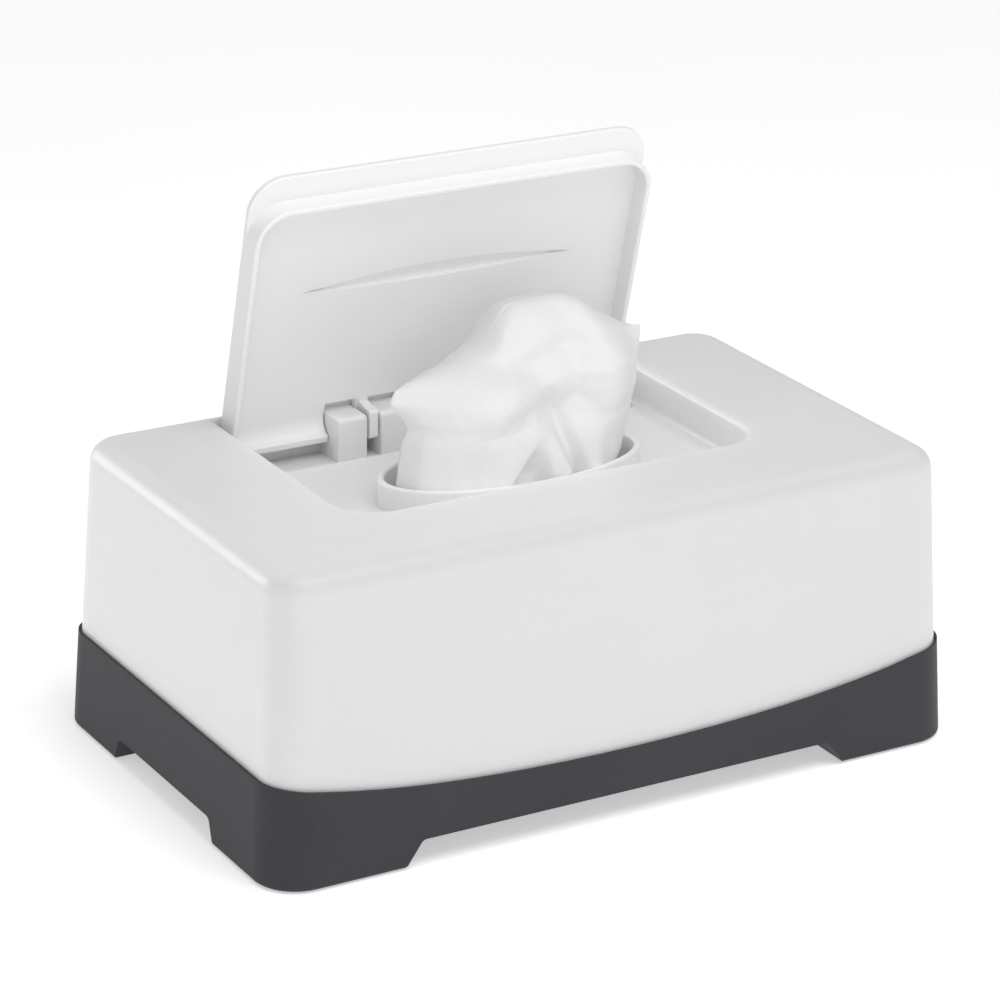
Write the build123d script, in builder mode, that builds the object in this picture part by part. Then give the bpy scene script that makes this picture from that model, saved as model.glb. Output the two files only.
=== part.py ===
from build123d import *
import math
import os

# Baby wipes box: a dark tray on four corner feet, a white cover with a pocket,
# an oval dispensing collar, and a hinged lid that stands open.
# Millimetres. Origin at the centre of the footprint, on the surface it stands on.
# +X along the length, +Y towards the hinge side, +Z up.

# ---------------------------------------------------------------- dimensions
# tapered outer form shared by tray and cover (half sizes at z = 0)
HALF_L = 112.5
HALF_W = 69.73
DRAFT_X = 0.0453          # inward mm per mm of height
DRAFT_Y = 0.0537
H_TOP = 88.6              # top face of the cover

# tray
R_TRAY = 12.9             # plan corner radius
Z_TRAY0 = 0.4             # the pads stand 0.4 below the tray
Z_LEDGE = 15.8            # ledge that carries the seal and the cover
LIP_T = 1.1               # thin lip outside the cover
WALL_T = 3.4              # full wall below the ledge
Z_FLOOR_TOP = 10.6
RIM_END = 30.1            # rim height at the short sides
RIM_MID = 20.35           # rim height at the middle of the long sides
ARCH_H = 7.9
FOOT_X0, FOOT_X1 = 72.7, 66.7     # inner end of a foot along X, at the ground and at the arch
FOOT_Y0, FOOT_Y1 = 32.2, 29.0     # inner end of a foot along Y
ARCH_R, FOOT_R = 2.2, 1.3         # rounding where an arch meets its feet and where a foot meets the ground
PAD_D = 14.0
PAD_T = 1.6
PAD_X, PAD_Y = 93.0, 51.0

# cover
INSET = 1.3               # cover's outer face inside the tray's outer face
R_COVER = 10.8
COVER_T = 2.2
ROOF_T = 2.6
Z_COVER0 = 17.0
R_TOP = 6.2               # soft top edge

# pocket in the cover
PK_X = 67.2               # half width
PK_Y0, PK_Y1 = -29.3, 57.3
PK_Z = 76.0               # pocket floor
PK_R_FRONT = 13.0
PK_T = 2.2
GUTTER_Y0 = 38.9          # closed gutter in the pocket floor under the hinge
GUTTER_X = 66.0
GUTTER_Z = 72.6           # its bottom
GUTTER_T = 1.8

# oval dispensing collar
COL_A, COL_B = 42.2, 20.4     # outer half axes
COL_T = 2.0
COL_Z = 83.7
COL_Y = 0.6

# hinge
AX_Y, AX_Z = 49.97, 83.95     # hinge axis, parallel to X
OPEN_DEG = 75.8               # the lid stands open this far at rest
R_BARREL = 6.85               # hinge axis to the lid's outer face
BARREL_END = 5.0              # where the barrel stops, degrees above the lid's own level
ARM_R = 2.7               # half the arms' depth
POST_Y0 = 45.7            # the posts' front faces
POST_TOP = 2.2            # posts' height above the axis
POSTS = [(-32.0, -22.4), (-17.6, -8.4)]   # x ranges on the left, mirrored on the right
POST_EDGE = 0.5
ARM_X0, ARM_X1 = -20.9, -18.0
ARM_DOWN = 6.2            # the lid's arms reach this far below the axis
NOTCH = 3.8               # the posts' notches reach this far past the axis into the lid
PIN_R = 1.2
PIN_CLR = 0.06
PIN_X0, PIN_X1 = -29.7, -8.6
PIN_HOLE = 7.4                # inner end of the pin holes

# lid, in its own plane: local x = X, local y towards its hinge end, local z outwards
LID_T = 2.0
LID_D = 83.85             # hinge axis to free edge
LID_HALF = 65.5
LID_R = 10.9
LID_EDGE = 0.7
SKIRT_HALF = 65.4
SKIRT_INSET = 7.45        # front lip beyond the skirt
SKIRT_T = 1.6
SKIRT_D = 8.3             # from the outer face
GROOVE_U = 44.0
GROOVE_HALF = 45.5
GROOVE_UP, GROOVE_DOWN = 3.8, 1.3     # how far its two edges bow out
GROOVE_DEPTH = 1.3

# contents
STACK_L, STACK_W, STACK_H = 194.0, 108.0, 50.0


def half_sizes(z, inset):
    return HALF_L - DRAFT_X * z - inset, HALF_W - DRAFT_Y * z - inset


def tapered(z0, z1, inset, radius):
    # the two end sections of a tapered block with rounded plan corners
    sections = []
    for z in (z0, z1):
        a, b = half_sizes(z, inset)
        with BuildSketch(Plane.XY.offset(z)) as section:
            RectangleRounded(2 * a, 2 * b, radius)
        sections.append(section.sketch.faces()[0])
    return sections


# ---------------------------------------------------------------- tray
with BuildPart() as base_tray:
    loft(tapered(Z_TRAY0, 31.0, 0.0, R_TRAY), ruled=True)
    # rim height follows a shallow curve along the two long sides
    rim_pts = [(0, RIM_MID), (20, 20.6), (40, 21.4), (60, 22.85), (80, 25.2), (92, 27.2), (101, 28.95), (108, 29.9), (116, RIM_END)]
    with BuildSketch(Plane.XZ):
        with BuildLine():
            Spline([(-x, z) for x, z in reversed(rim_pts[1:])] + rim_pts, tangents=[(1, 0), (1, 0)])
            Polyline((116, RIM_END), (116, 45), (-116, 45), (-116, RIM_END))
        make_face()
    extrude(amount=80, both=True, mode=Mode.SUBTRACT)
    # inside: tub below the ledge, wider above it where the cover stands
    loft(tapered(Z_FLOOR_TOP, Z_LEDGE + 0.5, WALL_T, R_TRAY - 3.2), ruled=True, mode=Mode.SUBTRACT)
    loft(tapered(Z_LEDGE, 40.0, LIP_T, R_TRAY - 2.0), ruled=True, mode=Mode.SUBTRACT)
    # arch from front to back
    with BuildSketch(Plane.XZ):
        Polygon((-FOOT_X0 - 6, -8), (-FOOT_X1, ARCH_H), (FOOT_X1, ARCH_H), (FOOT_X0 + 6, -8), align=None)
        fillet(vertices().group_by(Axis.Y)[-1], radius=ARCH_R)
    extrude(amount=80, both=True, mode=Mode.SUBTRACT)
    # arch from side to side
    with BuildSketch(Plane.YZ):
        Polygon((-FOOT_Y0 - 3.2, -8), (-FOOT_Y1, ARCH_H), (FOOT_Y1, ARCH_H), (FOOT_Y0 + 3.2, -8), align=None)
        fillet(vertices().group_by(Axis.Y)[-1], radius=ARCH_R)
    extrude(amount=120, both=True, mode=Mode.SUBTRACT)
    # the feet's lower edges are rounded all round
    fillet(base_tray.edges().group_by(Axis.Z)[0], radius=FOOT_R)
    # the feet are hollow from above
    with BuildSketch(Plane.XY.offset(3.2)):
        with Locations([(sx * 92.4, sy * 50.4) for sx in (-1, 1) for sy in (-1, 1)]):
            RectangleRounded(31.0, 29.0, 7.0)
    extrude(amount=Z_FLOOR_TOP - 3.2 + 0.5, mode=Mode.SUBTRACT)
    # shallow seats for the pads
    with BuildSketch(Plane.XY):
        with Locations([(sx * PAD_X, sy * PAD_Y) for sx in (-1, 1) for sy in (-1, 1)]):
            Circle(PAD_D / 2 + 0.2)
    extrude(amount=PAD_T, mode=Mode.SUBTRACT)

with BuildPart() as non_slip_pads:
    with BuildSketch(Plane.XY):
        with Locations([(sx * PAD_X, sy * PAD_Y) for sx in (-1, 1) for sy in (-1, 1)]):
            Circle(PAD_D / 2)
    extrude(amount=PAD_T)
    fillet(non_slip_pads.edges().group_by(Axis.Z)[0], radius=0.4)

with BuildPart() as rim_seal:
    a, b = half_sizes(Z_LEDGE, 1.25)
    with BuildSketch(Plane.XY.offset(Z_LEDGE)):
        RectangleRounded(2 * a, 2 * b, R_TRAY - 1.6)
        RectangleRounded(2 * a - 4.0, 2 * b - 4.0, R_TRAY - 3.6, mode=Mode.SUBTRACT)
    extrude(amount=Z_COVER0 - Z_LEDGE)

# ---------------------------------------------------------------- contents
with BuildPart() as wipes_stack:
    with BuildSketch(Plane.XY.offset(Z_FLOOR_TOP + 0.2)):
        RectangleRounded(STACK_L, STACK_W, 3.0)
    extrude(amount=STACK_H)

# ---------------------------------------------------------------- cover
with BuildPart() as cover_shell:
    loft(tapered(Z_COVER0, H_TOP, INSET, R_COVER), ruled=True)
    fillet(cover_shell.edges().group_by(Axis.Z)[-1], radius=R_TOP)
    # hollow inside
    loft(tapered(Z_COVER0 - 1.0, H_TOP - ROOF_T, INSET + COVER_T, R_COVER - 2.0), ruled=True, mode=Mode.SUBTRACT)
    # walls and floor of the pocket
    with BuildSketch(Plane.XY.offset(PK_Z - PK_T)):
        with Locations((0, (PK_Y0 + PK_Y1) / 2)):
            Rectangle(2 * (PK_X + PK_T), PK_Y1 - PK_Y0 + 2 * PK_T)
        fillet(vertices().group_by(Axis.Y)[0], radius=PK_R_FRONT + PK_T)
        fillet(vertices().group_by(Axis.Y)[-1], radius=PK_T)
    extrude(amount=H_TOP - 1.0 - PK_Z + PK_T)
    with BuildSketch(Plane.XY.offset(PK_Z)):
        with Locations((0, (PK_Y0 + PK_Y1) / 2)):
            Rectangle(2 * PK_X, PK_Y1 - PK_Y0)
        fillet(vertices().group_by(Axis.Y)[0], radius=PK_R_FRONT)
    extrude(amount=H_TOP - PK_Z + 5, mode=Mode.SUBTRACT)
    # soft edge round the pocket's mouth, apart from its thin back rim, and round its floor
    mouth = [e for e in cover_shell.edges() if abs(e.center().Z - H_TOP) < 0.01 and abs(e.center().X) < PK_X + 0.1 and PK_Y0 - 0.1 < e.center().Y < PK_Y1 - 0.1]
    fillet(mouth, radius=1.4)
    foot_edges = [e for e in cover_shell.edges() if abs(e.center().Z - PK_Z) < 0.01 and abs(e.center().X) < PK_X + 0.1 and PK_Y0 - 0.1 < e.center().Y < PK_Y1 - 0.1]
    fillet(foot_edges, radius=3.4)
    # closed gutter in the pocket floor under the hinge, where the lid's barrel turns
    with BuildSketch(Plane.XY.offset(GUTTER_Z - GUTTER_T)):
        with Locations((0, (GUTTER_Y0 - GUTTER_T + PK_Y1 + PK_T) / 2)):
            Rectangle(2 * (GUTTER_X + GUTTER_T), PK_Y1 + PK_T - GUTTER_Y0 + GUTTER_T)
        fillet(vertices(), radius=2.0)
    extrude(amount=PK_Z - 1.0 - GUTTER_Z + GUTTER_T)
    with BuildSketch(Plane.XY.offset(GUTTER_Z)):
        with Locations((0, (GUTTER_Y0 + PK_Y1) / 2)):
            Rectangle(2 * GUTTER_X, PK_Y1 - GUTTER_Y0)
    extrude(amount=PK_Z - GUTTER_Z + 3.4, mode=Mode.SUBTRACT)
    # oval collar
    with BuildSketch(Plane.XY.offset(PK_Z - PK_T)):
        with Locations((0, COL_Y)):
            Ellipse(COL_A, COL_B)
    extrude(amount=COL_Z - PK_Z + PK_T)
    with BuildSketch(Plane.XY.offset(PK_Z - PK_T - 1)):
        with Locations((0, COL_Y)):
            Ellipse(COL_A - COL_T, COL_B - COL_T)
    extrude(amount=20, mode=Mode.SUBTRACT)
    rim_edges = [e for e in cover_shell.edges() if abs(e.center().Z - COL_Z) < 0.01 and abs(e.center().X) < COL_A + 1]
    fillet(rim_edges, radius=0.7)
    # hinge posts stand in the gutter, joined to the pocket's back wall
    for x0, x1 in POSTS + [(-b_, -a_) for a_, b_ in POSTS]:
        with BuildSketch(Plane(origin=(x0, 0, 0), x_dir=(0, 1, 0), z_dir=(1, 0, 0))):
            Polygon((POST_Y0, GUTTER_Z - 0.5), (POST_Y0, AX_Z + POST_TOP), (PK_Y1 + 1.0, AX_Z + POST_TOP), (PK_Y1 + 1.0, GUTTER_Z - 0.5), align=None)
            fillet(vertices().group_by(Axis.Y)[-1].sort_by(Axis.X)[0], radius=1.4)
        extrude(amount=x1 - x0)
    # their front and top edges are softened
    post_edges = []
    for e in cover_shell.edges():
        box = e.bounding_box()
        side = any(abs(box.min.X - x) < 0.01 and abs(box.max.X - x) < 0.01 for p_ in POSTS for x in (p_[0], p_[1], -p_[0], -p_[1]))
        if side and box.max.Z > AX_Z - 1.0 and box.min.Y < AX_Y + 0.1:
            post_edges.append(e)
    fillet(post_edges, radius=POST_EDGE)
    # pin holes: through the inner post and the gap, blind in the outer post
    for x0 in (PIN_X0, PIN_HOLE):
        with BuildSketch(Plane(origin=(x0, 0, 0), x_dir=(0, 1, 0), z_dir=(1, 0, 0))):
            with Locations((AX_Y, AX_Z)):
                Circle(PIN_R)
        extrude(amount=-PIN_HOLE - PIN_X0, mode=Mode.SUBTRACT)

# ---------------------------------------------------------------- hinge pins
pins = []
for x0 in (PIN_X0, -PIN_X1):
    with BuildPart() as pin:
        with BuildSketch(Plane(origin=(x0, 0, 0), x_dir=(0, 1, 0), z_dir=(1, 0, 0))):
            with Locations((AX_Y, AX_Z)):
                Circle(PIN_R)
        extrude(amount=PIN_X1 - PIN_X0)
        chamfer(pin.edges(), length=0.25)
    pins.append(pin)

# ---------------------------------------------------------------- lid, standing open
oy, oz = math.sin(math.radians(OPEN_DEG)), math.cos(math.radians(OPEN_DEG))
lid_plane = Plane(origin=(0, AX_Y, AX_Z), x_dir=(1, 0, 0), z_dir=(0, oy, oz))


def lid_side(x):
    # plane across the lid at this x: local x runs to the hinge end, local y outwards
    return Plane(origin=(x, AX_Y, AX_Z), x_dir=(0, oz, -oy), z_dir=(1, 0, 0))


def scoop_sections():
    # its mouth in the lid's inner face, and its floor
    sections = []
    for depth, half, u, up, down in ((-0.02, GROOVE_HALF, GROOVE_U, GROOVE_UP, GROOVE_DOWN), (GROOVE_DEPTH, GROOVE_HALF - 5.0, GROOVE_U - 0.1, 0.25, GROOVE_DOWN - 0.45)):
        with BuildSketch(lid_plane.offset(R_BARREL - LID_T + depth)) as section:
            with BuildLine():
                ThreePointArc((-half, -u), (0, -u - up), (half, -u))
                ThreePointArc((half, -u), (0, -u + down), (-half, -u))
            make_face()
        sections.append(section.sketch.faces()[0])
    return sections


def in_lid(dy, dz):
    # a point beside the axis, given as it stands with the lid open, in lid_side's own axes
    return dy * oz - dz * oy, dy * oy + dz * oz


with BuildPart() as lid:
    # plate
    with BuildSketch(lid_plane.offset(R_BARREL - LID_T)):
        Rectangle(2 * LID_HALF, LID_D, align=(Align.CENTER, Align.MAX))
        fillet(vertices().group_by(Axis.Y)[0], radius=LID_R)
    extrude(amount=LID_T)
    # its edge is softened outside and inside
    for level, r_ in ((R_BARREL, LID_EDGE), (R_BARREL - LID_T, LID_EDGE - 0.15)):
        rim = []
        for e in lid.edges():
            c = lid_plane.to_local_coords(e.center())
            if abs(c.Z - level) < 0.01 and c.Y < -0.5:
                rim.append(e)
        fillet(rim, radius=r_)
    # rear barrel that wraps part of the way round the axis
    with BuildSketch(lid_side(-SKIRT_HALF)):
        Circle(R_BARREL)
        Circle(R_BARREL - LID_T, mode=Mode.SUBTRACT)
        Polygon((0, 0), (0, 12), (12, 12), (12, 12 * math.tan(math.radians(BARREL_END))), align=None, mode=Mode.INTERSECT)
    extrude(amount=2 * SKIRT_HALF)
    # the barrel is notched where the posts stand
    for x0, x1 in POSTS + [(-b_, -a_) for a_, b_ in POSTS]:
        with BuildSketch(lid_side(x0 - 0.4)):
            Polygon((-NOTCH, 0.0), (-NOTCH, 12), (12, 12), (12, 0.0), align=None)
        extrude(amount=x1 - x0 + 0.8, mode=Mode.SUBTRACT)
    # skirt on the inner side, open towards the hinge
    with BuildSketch(lid_plane.offset(R_BARREL - SKIRT_D)):
        with Locations((0, 20.0)):
            Rectangle(2 * SKIRT_HALF, LID_D - SKIRT_INSET + 20.0, align=(Align.CENTER, Align.MAX))
        fillet(vertices().group_by(Axis.Y)[0], radius=LID_R)
        offset(amount=-SKIRT_T, mode=Mode.SUBTRACT)
        Rectangle(4 * SKIRT_HALF, 40.0, align=(Align.CENTER, Align.MIN), mode=Mode.SUBTRACT)
    extrude(amount=SKIRT_D - LID_T + 0.6)
    # its free edge is soft
    free_edge = []
    for e in lid.edges():
        c = lid_plane.to_local_coords(e.center())
        if abs(c.Z - (R_BARREL - SKIRT_D)) < 0.01 and c.Y < -2:
            free_edge.append(e)
    fillet(free_edge, radius=0.45)
    # long scoop on the inner face, deepest near its edge on the hinge side
    loft(scoop_sections(), ruled=True, mode=Mode.SUBTRACT)
    # arms with the pin eyes, square like the posts that they stand beside
    for x0 in (ARM_X0, -ARM_X1):
        with BuildSketch(lid_side(x0)):
            Polygon(in_lid(-ARM_R, -ARM_DOWN), in_lid(-ARM_R, ARM_R), in_lid(2.0, ARM_R), in_lid(2.0, -ARM_DOWN), align=None)
            fillet(vertices(), radius=1.1)
            Polygon((-ARM_R, 0), (-ARM_R, R_BARREL - 1.0), (ARM_R, R_BARREL - 1.2), (ARM_R, 0), align=None)
            Circle(PIN_R + PIN_CLR, mode=Mode.SUBTRACT)
        extrude(amount=ARM_X1 - ARM_X0)

# ---------------------------------------------------------------- the pulled wipe
with BuildPart() as wipe_sheet:
    for z, x, y, a, b in ((61.2, 0.0, 0.6, 27.0, 6.5), (85.5, 0.0, 0.6, 29.0, 8.0), (97.0, 2.5, 0.5, 37.0, 16.0), (115.0, 3.0, 0.5, 40.0, 15.0), (132.0, 9.0, 1.0, 14.0, 7.0)):
        with BuildSketch(Plane.XY.offset(z)):
            with Locations((x, y)):
                Ellipse(a, b)
    loft(ruled=True)

# ---------------------------------------------------------------- write the pieces
os.makedirs("parts", exist_ok=True)
pieces = {
    "base_tray": base_tray,
    "non_slip_pads": non_slip_pads,
    "rim_seal": rim_seal,
    "wipes_stack": wipes_stack,
    "cover_shell": cover_shell,
    "hinge_pin_left": pins[0],
    "hinge_pin_right": pins[1],
    "lid": lid,
    "wipe_sheet": wipe_sheet,
}
for label, piece in pieces.items():
    piece.part.label = label
    export_step(piece.part, "parts/" + label + ".step")
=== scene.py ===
import math

import bmesh
import bpy
import numpy as np
from mathutils import Matrix, Vector, noise


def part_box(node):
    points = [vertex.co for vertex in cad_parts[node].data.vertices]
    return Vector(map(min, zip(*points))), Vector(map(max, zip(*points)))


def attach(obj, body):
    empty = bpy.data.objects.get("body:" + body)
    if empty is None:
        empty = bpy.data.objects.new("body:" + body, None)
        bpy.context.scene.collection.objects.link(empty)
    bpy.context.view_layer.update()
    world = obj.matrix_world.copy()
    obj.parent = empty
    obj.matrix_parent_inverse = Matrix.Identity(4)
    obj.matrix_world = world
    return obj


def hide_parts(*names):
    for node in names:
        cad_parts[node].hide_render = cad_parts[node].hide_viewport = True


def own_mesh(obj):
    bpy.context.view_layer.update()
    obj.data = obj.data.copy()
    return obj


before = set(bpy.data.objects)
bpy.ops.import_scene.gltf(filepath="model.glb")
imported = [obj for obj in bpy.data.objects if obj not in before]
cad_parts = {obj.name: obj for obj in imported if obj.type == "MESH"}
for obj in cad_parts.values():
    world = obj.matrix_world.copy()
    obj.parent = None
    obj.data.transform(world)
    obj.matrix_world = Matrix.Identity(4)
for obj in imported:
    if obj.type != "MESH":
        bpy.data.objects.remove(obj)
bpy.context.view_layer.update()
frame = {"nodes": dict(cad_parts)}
scene = bpy.context.scene


# ------------------------------------------------------------------ node helpers
def new_material(name):
    m = bpy.data.materials.new(name)
    m.use_nodes = True
    nt = m.node_tree
    nt.nodes.clear()
    out = nt.nodes.new("ShaderNodeOutputMaterial")
    bsdf = nt.nodes.new("ShaderNodeBsdfPrincipled")
    nt.links.new(bsdf.outputs["BSDF"], out.inputs["Surface"])
    return m, nt, bsdf


def coords(nt, scale=(1, 1, 1)):
    tc = nt.nodes.new("ShaderNodeTexCoord")
    mp = nt.nodes.new("ShaderNodeMapping")
    mp.inputs["Scale"].default_value = scale
    nt.links.new(tc.outputs["Object"], mp.inputs["Vector"])
    return mp.outputs["Vector"]


def noise_tex(nt, vec, scale, detail=2.0, rough=0.5, distortion=0.0):
    n = nt.nodes.new("ShaderNodeTexNoise")
    n.inputs["Scale"].default_value = scale
    n.inputs["Detail"].default_value = detail
    n.inputs["Roughness"].default_value = rough
    n.inputs["Distortion"].default_value = distortion
    nt.links.new(vec, n.inputs["Vector"])
    return n.outputs["Fac"]


def voronoi_tex(nt, vec, scale, feature="F1"):
    n = nt.nodes.new("ShaderNodeTexVoronoi")
    n.feature = feature
    n.inputs["Scale"].default_value = scale
    nt.links.new(vec, n.inputs["Vector"])
    return n.outputs["Distance"]


def ramp(nt, fac, stops):
    r = nt.nodes.new("ShaderNodeValToRGB")
    e = r.color_ramp.elements
    e[0].position, e[0].color = stops[0][0], (*stops[0][1], 1)
    e[1].position, e[1].color = stops[-1][0], (*stops[-1][1], 1)
    for p, c in stops[1:-1]:
        x = e.new(p)
        x.color = (*c, 1)
    nt.links.new(fac, r.inputs["Fac"])
    return r.outputs["Color"]


def map_range(nt, fac, lo, hi, a=0.0, b=1.0):
    m = nt.nodes.new("ShaderNodeMapRange")
    m.inputs["From Min"].default_value = a
    m.inputs["From Max"].default_value = b
    m.inputs["To Min"].default_value = lo
    m.inputs["To Max"].default_value = hi
    nt.links.new(fac, m.inputs["Value"])
    return m.outputs["Result"]


def maths(nt, op, a, b=None):
    m = nt.nodes.new("ShaderNodeMath")
    m.operation = op
    for i, v in enumerate((a, b)):
        if v is None:
            continue
        if isinstance(v, (int, float)):
            m.inputs[i].default_value = v
        else:
            nt.links.new(v, m.inputs[i])
    return m.outputs["Value"]


def bump(nt, height, strength, distance, normal=None):
    b = nt.nodes.new("ShaderNodeBump")
    b.inputs["Strength"].default_value = strength
    b.inputs["Distance"].default_value = distance
    nt.links.new(height, b.inputs["Height"])
    if normal is not None:
        nt.links.new(normal, b.inputs["Normal"])
    return b.outputs["Normal"]


# ------------------------------------------------------------------ materials
def white_plastic(name, tone, depth, radius):
    # semi-gloss moulded polypropylene: faint sink and flow, very fine orange peel
    m, nt, bsdf = new_material(name)
    v = coords(nt)
    cloud = noise_tex(nt, v, 22.0, 3.0, 0.55, 0.4)
    flow = noise_tex(nt, coords(nt, (14.0, 60.0, 60.0)), 1.0, 3.0, 0.5, 0.6)
    both = maths(nt, "ADD", maths(nt, "MULTIPLY", cloud, 0.6), maths(nt, "MULTIPLY", flow, 0.4))
    nt.links.new(ramp(nt, both, [(0.3, (tone - 0.012, tone - 0.011, tone - 0.005)), (0.7, (tone + 0.012, tone + 0.012, tone + 0.016))]), bsdf.inputs["Base Color"])
    peel = noise_tex(nt, v, 900.0, 2.0, 0.5)
    wear = noise_tex(nt, v, 140.0, 4.0, 0.6)
    rough = maths(nt, "ADD", map_range(nt, both, 0.30, 0.38, 0.3, 0.7), map_range(nt, wear, -0.02, 0.03, 0.35, 0.75))
    nt.links.new(rough, bsdf.inputs["Roughness"])
    n1 = bump(nt, peel, 0.05, 0.0002)
    n2 = bump(nt, noise_tex(nt, v, 45.0, 2.0, 0.5), 0.03, 0.001, n1)
    nt.links.new(n2, bsdf.inputs["Normal"])
    bsdf.inputs["IOR"].default_value = 1.49
    bsdf.inputs["Specular IOR Level"].default_value = 0.5
    # light soaks some millimetres into it, so thin walls glow a little
    bsdf.inputs["Subsurface Weight"].default_value = depth
    bsdf.inputs["Subsurface Radius"].default_value = (radius, radius, radius)
    bsdf.inputs["Subsurface Scale"].default_value = 1.0
    return m


def dark_plastic():
    # dark warm grey with a fine spark-eroded grain
    m, nt, bsdf = new_material("dark_plastic")
    v = coords(nt)
    grain = voronoi_tex(nt, v, 1900.0)
    fine = noise_tex(nt, v, 2600.0, 2.0, 0.6)
    broad = noise_tex(nt, v, 28.0, 3.0, 0.55)
    tone = maths(nt, "ADD", maths(nt, "MULTIPLY", broad, 0.7), maths(nt, "MULTIPLY", fine, 0.3))
    nt.links.new(ramp(nt, tone, [(0.32, (0.0490, 0.0475, 0.0550)), (0.68, (0.0590, 0.0570, 0.0650))]), bsdf.inputs["Base Color"])
    nt.links.new(map_range(nt, maths(nt, "ADD", grain, maths(nt, "MULTIPLY", broad, 0.5)), 0.42, 0.58, 0.2, 1.2), bsdf.inputs["Roughness"])
    n1 = bump(nt, grain, 0.16, 0.0002)
    n2 = bump(nt, fine, 0.10, 0.0001, n1)
    nt.links.new(n2, bsdf.inputs["Normal"])
    bsdf.inputs["IOR"].default_value = 1.5
    bsdf.inputs["Specular IOR Level"].default_value = 0.16
    return m


def rubber(name, dark, light, rough):
    m, nt, bsdf = new_material(name)
    v = coords(nt)
    n = noise_tex(nt, v, 420.0, 4.0, 0.6)
    spots = noise_tex(nt, v, 60.0, 2.0, 0.5)
    nt.links.new(ramp(nt, maths(nt, "ADD", maths(nt, "MULTIPLY", n, 0.5), maths(nt, "MULTIPLY", spots, 0.5)), [(0.3, dark), (0.7, light)]), bsdf.inputs["Base Color"])
    nt.links.new(map_range(nt, n, rough - 0.06, rough + 0.06, 0.3, 0.7), bsdf.inputs["Roughness"])
    nt.links.new(bump(nt, n, 0.25, 0.0002), bsdf.inputs["Normal"])
    bsdf.inputs["Sheen Weight"].default_value = 0.15
    bsdf.inputs["Sheen Roughness"].default_value = 0.5
    return m


def ground_steel():
    # fine grinding marks round the pin
    m, nt, bsdf = new_material("pin_steel")
    lines = noise_tex(nt, coords(nt, (9000.0, 300.0, 300.0)), 1.0, 3.0, 0.6)
    broad = noise_tex(nt, coords(nt), 300.0, 2.0, 0.5)
    nt.links.new(ramp(nt, broad, [(0.3, (0.52, 0.52, 0.53)), (0.7, (0.62, 0.62, 0.63))]), bsdf.inputs["Base Color"])
    bsdf.inputs["Metallic"].default_value = 1.0
    nt.links.new(map_range(nt, lines, 0.22, 0.40, 0.3, 0.7), bsdf.inputs["Roughness"])
    nt.links.new(bump(nt, lines, 0.12, 0.00005), bsdf.inputs["Normal"])
    return m


def nonwoven(name, translucent=0.15):
    # moist spunlace: tangled fibres, a faint lengthwise draft and pressed dimples
    m, nt, bsdf = new_material(name)
    v = coords(nt)
    fibres = noise_tex(nt, coords(nt, (420.0, 420.0, 1500.0)), 1.0, 5.0, 0.7, 2.2)
    cross = noise_tex(nt, coords(nt, (1500.0, 700.0, 420.0)), 1.0, 5.0, 0.7, 2.2)
    mat = maths(nt, "ADD", maths(nt, "MULTIPLY", fibres, 0.5), maths(nt, "MULTIPLY", cross, 0.5))
    dense = noise_tex(nt, v, 55.0, 4.0, 0.6, 0.5)
    tone = maths(nt, "ADD", maths(nt, "MULTIPLY", mat, 0.6), maths(nt, "MULTIPLY", dense, 0.4))
    colour = ramp(nt, tone, [(0.28, (0.81, 0.81, 0.812)), (0.5, (0.85, 0.85, 0.851)), (0.72, (0.875, 0.875, 0.875))])
    nt.links.new(colour, bsdf.inputs["Base Color"])
    nt.links.new(map_range(nt, tone, 0.62, 0.46, 0.3, 0.7), bsdf.inputs["Roughness"])
    dimples = voronoi_tex(nt, v, 520.0, "SMOOTH_F1")
    n1 = bump(nt, mat, 0.30, 0.00035)
    n2 = bump(nt, dimples, 0.18, 0.0004, n1)
    nt.links.new(n2, bsdf.inputs["Normal"])
    bsdf.inputs["Specular IOR Level"].default_value = 0.35
    bsdf.inputs["Sheen Weight"].default_value = 0.25
    bsdf.inputs["Sheen Roughness"].default_value = 0.5
    bsdf.inputs["Subsurface Weight"].default_value = 0.35
    bsdf.inputs["Subsurface Radius"].default_value = (0.005, 0.005, 0.005)
    bsdf.inputs["Subsurface Scale"].default_value = 1.0
    if translucent:
        out = next(n for n in nt.nodes if n.type == "OUTPUT_MATERIAL")
        tr = nt.nodes.new("ShaderNodeBsdfTranslucent")
        nt.links.new(colour, tr.inputs["Color"])
        nt.links.new(n2, tr.inputs["Normal"])
        mix = nt.nodes.new("ShaderNodeMixShader")
        mix.inputs["Fac"].default_value = translucent
        nt.links.new(bsdf.outputs["BSDF"], mix.inputs[1])
        nt.links.new(tr.outputs["BSDF"], mix.inputs[2])
        nt.links.new(mix.outputs["Shader"], out.inputs["Surface"])
    return m


WHITE = white_plastic("white_plastic", 0.885, 0.4, 0.009)
LID_WHITE = white_plastic("white_plastic_lid", 0.87, 0.25, 0.003)
DARK = dark_plastic()
PAD = rubber("pad_rubber", (0.030, 0.030, 0.032), (0.048, 0.048, 0.050), 0.72)
SEAL = rubber("seal_rubber", (0.56, 0.56, 0.56), (0.66, 0.66, 0.655), 0.55)
STEEL = ground_steel()
WIPE = nonwoven("wet_wipe")
PACK = nonwoven("wet_wipe_stack", 0.0)

for node, mat in (("cover_shell", WHITE), ("lid", LID_WHITE), ("base_tray", DARK), ("non_slip_pads", PAD), ("rim_seal", SEAL), ("hinge_pin_left", STEEL), ("hinge_pin_right", STEEL)):
    o = frame["nodes"][node]
    for s in o.material_slots:
        s.material = mat
    if not o.material_slots:
        o.data.materials.append(mat)


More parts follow.
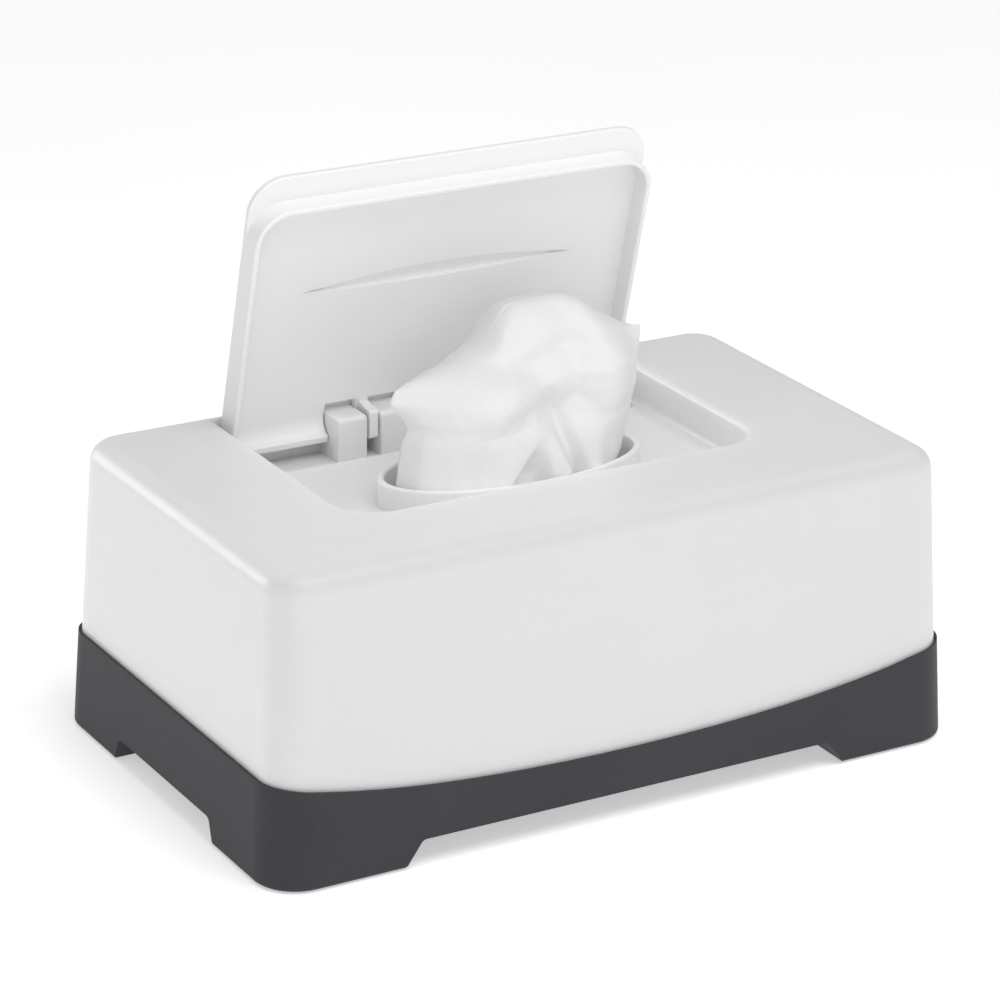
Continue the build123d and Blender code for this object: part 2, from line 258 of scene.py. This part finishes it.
def mesh_object(name, verts, faces, material, smooth=True):
    me = bpy.data.meshes.new(name)
    me.from_pydata([tuple(map(float, v)) for v in verts], [], faces)
    me.update()
    bm = bmesh.new()
    bm.from_mesh(me)
    bmesh.ops.recalc_face_normals(bm, faces=bm.faces)
    bm.to_mesh(me)
    bm.free()
    me.materials.append(material)
    for p in me.polygons:
        p.use_smooth = smooth
    o = bpy.data.objects.new(name, me)
    scene.collection.objects.link(o)
    return o


# ------------------------------------------------------------------ the stack of folded wipes
# One long strip folded to and fro, the way it lies in the pack: folds at the front and
# the back, layered edges at the left and the right.
def build_stack():
    lo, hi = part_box("wipes_stack")
    layers = 38
    pitch = (hi.z - lo.z - 0.0006) / layers
    x0, x1, y0, y1 = lo.x + 0.001, hi.x - 0.001, lo.y + 0.001, hi.y - 0.001
    r = pitch / 2
    path, tang = [], []
    straight = 14
    for k in range(layers):
        z = lo.z + 0.0003 + r + k * pitch
        jit0 = 0.0011 * noise.noise((k * 1.7, 0.3, 5.0))
        jit1 = 0.0011 * noise.noise((k * 1.3, 4.3, 9.0))
        ya, yb = y0 + r + abs(jit0), y1 - r - abs(jit1)
        if k % 2:
            ya, yb = yb, ya
        for i in range(straight + 1):
            t = i / straight
            path.append((ya + (yb - ya) * t, z, k))
        if k < layers - 1:
            s = 1 if k % 2 == 0 else -1
            for i in range(1, 6):
                a = math.pi * i / 6
                path.append((yb + s * r * math.sin(a) * 1.15, z + r * (1 - math.cos(a)), k))
    across = 26
    verts, faces = [], []
    for j, (y, z, k) in enumerate(path):
        for i in range(across + 1):
            u = i / across
            x = x0 + (x1 - x0) * u
            edge = 0.0006 * noise.noise((k * 2.1, y * 60, 1.5 if u > 0.5 else 7.5)) if i in (0, across) else 0.0
            top = max(0.0, (k - layers + 4) / 4)
            lift = -0.0011 * top * (0.5 + 0.5 * noise.noise((x * 22, y * 26, 3.0)))
            wob = 0.16 * pitch * noise.noise((x * 45, y * 45, k * 0.35))
            verts.append((x + edge, y, z + wob + lift))
    w = across + 1
    for j in range(len(path) - 1):
        for i in range(across):
            a = j * w + i
            faces.append((a, a + 1, a + w + 1, a + w))
    o = mesh_object("folded_wipes", verts, faces, PACK)
    sol = o.modifiers.new("thickness", "SOLIDIFY")
    sol.thickness = pitch * 0.62
    sol.offset = 0.0
    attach(o, "base")
    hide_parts("wipes_stack")
    return o


build_stack()

# ------------------------------------------------------------------ the pulled wipe
# One thin sheet. Its middle stands up out of the collar as a loose loop with soft
# lobes in front; both ends go back down through the collar and fold up again inside.
def smooth(x, a, b):
    t = np.clip((np.asarray(x, float) - a) / (b - a), 0.0, 1.0)
    return t * t * (3 - 2 * t)


def bell(x, w):
    return np.exp(-(np.asarray(x, float) / w) ** 2)


def soft_noise(x, y, z):
    return noise.noise(Vector((float(x), float(y), float(z))))


TOP_X = np.array([-60, -42, -34, -28, -23.4, -17.5, -13.1, -10.4, -7.6, -5.2, -2.6, 2.4, 10, 18.3, 25.8, 34.7, 41, 60.0])
TOP_Z = np.array([109, 110.5, 114.6, 116.2, 117.7, 119.6, 121.2, 123.4, 127.8, 130.8, 132.5, 133.5, 133.4, 132.2, 126.8, 121.4, 118.8, 117.0])
LEFT_Z = np.array([60, 70, 76, 82.4, 92.6, 101, 105, 109, 114.8, 135.0])
LEFT_X = np.array([-27.5, -30, -34, -37.6, -36.2, -35.6, -37.6, -41.0, -38.0, -36.0])
RIGHT_Z = np.array([60, 70, 76, 82.4, 95.7, 103.6, 112.4, 118.4, 135.0])
RIGHT_X = np.array([27.5, 30, 34, 38.2, 41.6, 42.8, 43.6, 43.3, 43.0])
LOW_Z = 66.0


def front_depth(x, z):
    # how far the front stands forward of the middle plane, mm
    inside = 18.4 * np.sqrt(np.clip(1 - (x / 41.0) ** 2, 0.02, 1)) - 1.0
    neck = np.interp(z, [62, 70, 76, 80, 84], [6.5, 8.0, 11.0, 14.0, 17.4])
    d = np.minimum(neck, inside)
    above = smooth(z, 84, 106)
    # left lobe, right lobe and the panel between them
    lobe_l = 16.6 * bell(x + 17.0, 23.0)
    lobe_r = 15.4 * bell(x - 27.0, 18.0)
    panel = 12.5 * bell(x - 2.0, 18.0)
    body = (lobe_l ** 4 + lobe_r ** 4 + panel ** 4) ** 0.25
    d = d * (1 - above) + np.maximum(body, 7.0) * above
    # the upper right mass leans back over the lobes
    d = d - 4.0 * smooth(z, 112, 122) * smooth(x, -12, -4)
    # the left lobe's crown, and the soft valley over it
    d = d + 2.2 * bell(x + 12, 9) * bell(z - 109, 8) - 2.8 * bell(z - 117 + 0.1 * (x + 6), 3.0) * smooth(x, -19, -12) * (1 - smooth(x, 0, 12))
    # the edge fold that runs up the left of the upper mass
    xe = np.interp(z, [118, 122.5, 132.8], [-12.0, -9.6, -2.2])
    d = d + 1.7 * bell(x - xe, 1.9) * smooth(z, 117, 121)
    # deep crease: from high between the lobes down to the rim
    xc = np.interp(z, [60, 83.8, 95, 108.8, 112, 122], [13.6, 13.2, 9.4, 5.0, 4.2, 2.5])
    deep = np.interp(z, [60, 76, 84, 95, 107, 114, 121], [0.0, 3.5, 7.0, 5.6, 3.4, 1.5, 0.0])
    w = np.interp(z, [60, 84, 100, 115], [2.4, 3.0, 3.2, 4.0])
    side = np.where(x > xc, 1.0, 1.6)
    d = d - deep * bell(x - xc, w * side)
    # narrow fold beside it, from the middle down to the rim
    xr = np.interp(z, [60, 84, 91, 98, 106], [10.4, 9.4, 7.0, 4.6, 2.5])
    d = d + np.interp(z, [60, 76, 84, 92, 99], [0.0, 2.0, 5.2, 3.0, 0.0]) * bell(x - xr, 2.1)
    # the hollow in front, wide at the rim, closing above
    xh = np.interp(z, [60, 83.6, 94], [-2.6, -2.4, 0.8])
    wide = np.interp(z, [60, 76, 84, 90, 95], [4.5, 5.5, 5.6, 3.4, 1.2])
    fall = np.interp(z, [60, 76, 80, 84, 88, 92, 95], [0.0, 0.5, 4.0, 7.2, 4.2, 1.1, 0.0])
    d = d - fall * np.exp(-np.abs((x - xh) / wide) ** 4)
    return d


def back_depth(x, z):
    inside = 18.4 * np.sqrt(np.clip(1 - (x / 41.0) ** 2, 0.02, 1)) - 1.4
    neck = np.interp(z, [62, 70, 76, 80, 84], [6.5, 8.0, 11.0, 13.5, 15.5])
    d = np.minimum(neck, inside)
    above = smooth(z, 84, 98)
    body = 11.5 + 3.0 * bell(x - 20, 12) + 2.4 * bell(x + 14, 10) - 2.8 * bell(x - 3 - 0.25 * (z - 100), 4.5) - 2.0 * bell(x + 27 - 0.2 * (z - 100), 4.0)
    d = d * (1 - above) + body * above
    d = d - 3.2 * np.interp(z, [60, 76, 84, 96, 108], [0, 0.5, 1.0, 0.7, 0.0]) * (bell(x - 6, 3.0) + 0.8 * bell(x + 12, 2.6) + 0.7 * bell(x - 24, 2.8))
    return d


def wipe_point(u, t, side):
    # u across from -1 to 1, t from the neck (0) to the crest (1), side -1 front, 1 back
    x0 = np.interp(u, [-1, 1], [-38.5, 43.0])
    ztop = np.interp(x0, TOP_X, TOP_Z)
    ztop = 0.25 * np.interp(x0 - 1.5, TOP_X, TOP_Z) + 0.5 * ztop + 0.25 * np.interp(x0 + 1.5, TOP_X, TOP_Z)
    cap = 10.5 + 6.0 * float(smooth(-x0, -6.0, 12.0)) if side < 0 else 10.5
    if t < 0.66:
        z = LOW_Z + (ztop - cap - LOW_Z) * t / 0.66
        b = 1.0
    else:
        a = (t - 0.66) / 0.34 * math.pi / 2
        z = ztop - cap + cap * math.sin(a)
        b = max(math.cos(a), 0.0)
    # the corners keep square on the right, the left flap hangs out a little
    xl, xr = np.interp(z, LEFT_Z[:5], LEFT_X[:5]), np.interp(z, RIGHT_Z, RIGHT_X)
    x = xl + (xr - xl) * (u + 1) / 2 + (np.interp(z, LEFT_Z, LEFT_X) - xl) * float(smooth(-u, 0.4, 1.0))
    if side < 0:
        close = (1 - abs(u) ** 3.2) ** 0.62 if abs(u) < 1 else 0.0
        y = -front_depth(x, z) * close
    else:
        close = (1 - abs(u) ** 2.6) ** 0.70 if abs(u) < 1 else 0.0
        y = back_depth(x, z) * close
    y = y * b
    mid = 0.6 - 1.5 * smooth(-u, 0.5, 1.0) + 1.0 * smooth(u, 0.6, 1.0)
    # the front layer's side edges wrap round the back layer's, which are tucked in
    free = 1 - float(smooth(t, 0.58, 0.86))
    w = float(smooth(abs(u), 0.90, 1.0))
    if side < 0:
        y += mid + (-0.9 * (1 - w) + 1.5 * w) * free
    else:
        y += mid + (0.9 * (1 - w) - 0.4 * w) * free
        x = x * (1 - 0.045 * free)
    return x, y, z


def build_wipe():
    cols = 110
    us = np.sin(np.linspace(-1, 1, cols + 1) * math.pi / 2 * 0.86) / math.sin(math.pi / 2 * 0.86)
    rows = []          # (kind, value)
    for k in np.linspace(1.0, 0.0, 24):
        rows.append(("in", -1, k))
    for a in np.linspace(0.1, 0.9, 5):
        rows.append(("turn", -1, a))
    for t in np.linspace(0, 1, 64)[:-1]:
        rows.append(("out", -1, t))
    for t in np.linspace(1, 0, 64):
        rows.append(("out", 1, t))
    for a in np.linspace(0.9, 0.1, 5):
        rows.append(("turn", 1, a))
    for k in np.linspace(0.0, 1.0, 24):
        rows.append(("in", 1, k))
    verts = []
    pin = []
    for j, (kind, side, v) in enumerate(rows):
        for i, u in enumerate(us):
            if kind == "out":
                x, y, z = wipe_point(u, v, side)
                # gathers that rise out of the neck, and soft hand-made dents higher up
                near = 1 - smooth(z, 82, 101)
                g = soft_noise(x * 0.17, side * 5.0, z * 0.015) * 1.3 * near * smooth(z, 62, 76)
                dent = soft_noise(x * 0.055 + 3.1, z * 0.05, side * 7.0 + y * 0.02) * 1.7 * smooth(z, 94, 112)
                dent += soft_noise(x * 0.13 + 1.7, z * 0.07, side * 3.0) * 0.5 * smooth(z, 94, 110)
                grow = (1 - abs(u) ** 4)
                y += side * (g + dent) * grow
                z += 0.5 * soft_noise(x * 0.12, 9.0, side * 2.0) * smooth(z, 100, 118)
                pin.append(1.0 if z < 85 else 0.0)
            else:
                yo = wipe_point(u, 0.0, side)[1]
                xo = wipe_point(u, 0.0, side)[0]
                yi = side * 2.4
                if kind == "turn":
                    a = math.pi * v            # 0 inside, pi outside
                    y = (yi + yo) / 2 + (yi - yo) / 2 * math.cos(a)
                    z = 66.0 - 2.6 * math.sin(a) + (1 - v) * 1.5
                    x = xo
                else:
                    crest = np.interp(np.interp(u, [-1, 1], [-38.5, 43.0]), TOP_X, TOP_Z) - (19.0 if side < 0 else 23.0)
                    z = 67.5 + (crest - 67.5) * v
                    x = xo * (1.0 + 0.16 * v) + 1.6 * soft_noise(side * 4.0, z * 0.05, 2.0) * v
                    y = yi + side * 1.3 * soft_noise(x * 0.16, z * 0.035, side * 6.0) * smooth(v, 0, 0.2) - side * 0.5 * v
                pin.append(1.0)
            verts.append((x / 1000, y / 1000, z / 1000))
    w = cols + 1
    faces = []
    for j in range(len(rows) - 1):
        for i in range(cols):
            a = j * w + i
            faces.append((a, a + 1, a + w + 1, a + w))
    o = mesh_object("pulled_wipe", verts, faces, WIPE)
    settle(o, pin)
    sub = o.modifiers.new("smooth", "SUBSURF")
    sub.levels = sub.render_levels = 1
    sol = o.modifiers.new("thickness", "SOLIDIFY")
    sol.thickness = 0.00035
    sol.offset = 0.0
    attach(o, "cover")
    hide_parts("wipe_sheet")
    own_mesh(o)
    return o


def settle(o, pin):
    # a short cloth run lets the loop slacken and pucker; no point moves more than the cap
    start = [v.co.copy() for v in o.data.vertices]
    give = [float(smooth(c.z * 1000, 94, 112)) * (1 - w) for c, w in zip(start, pin)]
    group = o.vertex_groups.new(name="held")
    for i, wgt in enumerate(pin):
        group.add([i], wgt, "REPLACE")
    cl = o.modifiers.new("cloth", "CLOTH")
    st = cl.settings
    st.quality = 6
    st.mass = 0.05
    st.tension_stiffness = 12
    st.compression_stiffness = 8
    st.shear_stiffness = 4
    st.bending_stiffness = 0.08
    st.air_damping = 3
    st.vertex_group_mass = "held"
    st.shrink_min = -0.03
    st.effector_weights.gravity = 0.25
    st.use_pressure = True
    st.uniform_pressure_force = 0.12
    cl.collision_settings.use_collision = False
    cl.collision_settings.use_self_collision = False
    cl.point_cache.frame_start = 1
    cl.point_cache.frame_end = 14
    scene.frame_start, scene.frame_end = 1, 14
    for f in range(1, 15):
        scene.frame_set(f)
    ev = o.evaluated_get(bpy.context.evaluated_depsgraph_get())
    moved = [v.co.copy() for v in ev.data.vertices]
    o.modifiers.remove(cl)
    scene.frame_set(1)
    cap = 0.0013
    far = 0.0
    for v, a, b, g in zip(o.data.vertices, start, moved, give):
        d = (b - a) * g
        far = max(far, d.length)
        if d.length > cap:
            d = d * (cap / d.length)
        v.co = a + d
    o.data.update()
    print("wipe settled, largest move mm", round(far * 1000, 2))


wipe = build_wipe()

# ------------------------------------------------------------------ floor and backdrop
def studio_floor():
    m, nt, bsdf = new_material("studio_floor")
    n = noise_tex(nt, coords(nt), 6.0, 3.0, 0.5)
    nt.links.new(ramp(nt, n, [(0.3, (0.93, 0.93, 0.93)), (0.7, (0.95, 0.95, 0.95))]), bsdf.inputs["Base Color"])
    bsdf.inputs["Roughness"].default_value = 0.9
    bsdf.inputs["Specular IOR Level"].default_value = 0.1
    bsdf.inputs["Emission Color"].default_value = (1.0, 1.0, 1.0, 1.0)
    bsdf.inputs["Emission Strength"].default_value = 0.47
    verts = [(-6, -6, 0), (6, -6, 0), (6, 6, 0), (-6, 6, 0)]
    o = mesh_object("studio_floor", verts, [(0, 1, 2, 3)], m, smooth=False)
    o.location.z = -0.00002
    return o


floor = studio_floor()

# ------------------------------------------------------------------ light
world = bpy.data.worlds.new("studio")
scene.world = world
world.use_nodes = True
wn = world.node_tree
wn.nodes.clear()
wo = wn.nodes.new("ShaderNodeOutputWorld")
bg = wn.nodes.new("ShaderNodeBackground")
bg.inputs["Color"].default_value = (1.0, 1.0, 1.0, 1.0)
bg.inputs["Strength"].default_value = 0.46
wn.links.new(bg.outputs["Background"], wo.inputs["Surface"])


def area(name, loc, target, size, power, colour=(1, 1, 1)):
    d = bpy.data.lights.new(name, "AREA")
    d.shape = "RECTANGLE"
    d.size, d.size_y = size
    d.energy = power
    d.color = colour
    o = bpy.data.objects.new(name, d)
    o.location = loc
    o.rotation_euler = (Vector(target) - Vector(loc)).to_track_quat("-Z", "Y").to_euler()
    scene.collection.objects.link(o)
    return o


area("over", (0.03, -0.29, 0.70), (0, 0, 0.08), (0.5, 0.45), 2.1)


def flagged(name, loc, target, size, power, lit, shade=None):
    # a lamp that is flagged off everything but the objects in lit; only those in shade cast shadows
    o = area(name, loc, target, size, power)
    rec = bpy.data.collections.new(name)
    for piece in lit:
        rec.objects.link(piece)
    o.light_linking.receiver_collection = rec
    if shade is not None:
        blk = bpy.data.collections.new(name + "_shade")
        for piece in shade:
            blk.objects.link(piece)
        o.light_linking.blocker_collection = blk
    return o


node = frame["nodes"]
# soft fill on the box's left end, and one from behind into the pocket; a low front light that opens the shade inside the raised
# lid; another for the wipe, which glows with the light scattered through its thin folds
flagged("left", (-1.15, -0.20, 0.50), (0, 0, 0.06), (0.6, 0.5), 0.6, [node["cover_shell"], node["base_tray"]])
flagged("pocket", (-0.58, 0.85, 0.30), (0, 0, 0.08), (0.5, 0.4), 2.6, [node["cover_shell"]], [node["cover_shell"], floor])
flagged("front_lid", (-0.45, -1.25, 0.42), (0, 0, 0.10), (0.9, 0.5), 3.3, [node["lid"]])
flagged("front_wipe", (-0.45, -1.25, 0.22), (0, 0, 0.10), (0.9, 0.5), 7.0, [wipe], [floor])

# ------------------------------------------------------------------ camera at the photograph's angle
YAW, PITCH, ROLL = 0.5316, 0.3729, 0.0172
fw = Vector((math.sin(YAW) * math.cos(PITCH), math.cos(YAW) * math.cos(PITCH), -math.sin(PITCH)))
right0 = Vector((math.cos(YAW), -math.sin(YAW), 0.0))
up0 = right0.cross(fw)
right = right0 * math.cos(ROLL) + up0 * math.sin(ROLL)
up = -right0 * math.sin(ROLL) + up0 * math.cos(ROLL)
cam_data = bpy.data.cameras.new("camera")
cam_data.sensor_width = 36.0
cam_data.lens = 141.93
cam_data.clip_start = 0.05
cam_data.clip_end = 50.0
cam = bpy.data.objects.new("camera", cam_data)
loc = Vector((-0.54023, -0.91245, 0.48597))
cam.matrix_world = Matrix((
    (right.x, up.x, -fw.x, loc.x),
    (right.y, up.y, -fw.y, loc.y),
    (right.z, up.z, -fw.z, loc.z),
    (0, 0, 0, 1)))
scene.collection.objects.link(cam)
scene.camera = cam
scene.view_settings.view_transform = "Standard"
scene.view_settings.look = "None"
scene.view_settings.exposure = 0.0
scene.view_settings.gamma = 1.0
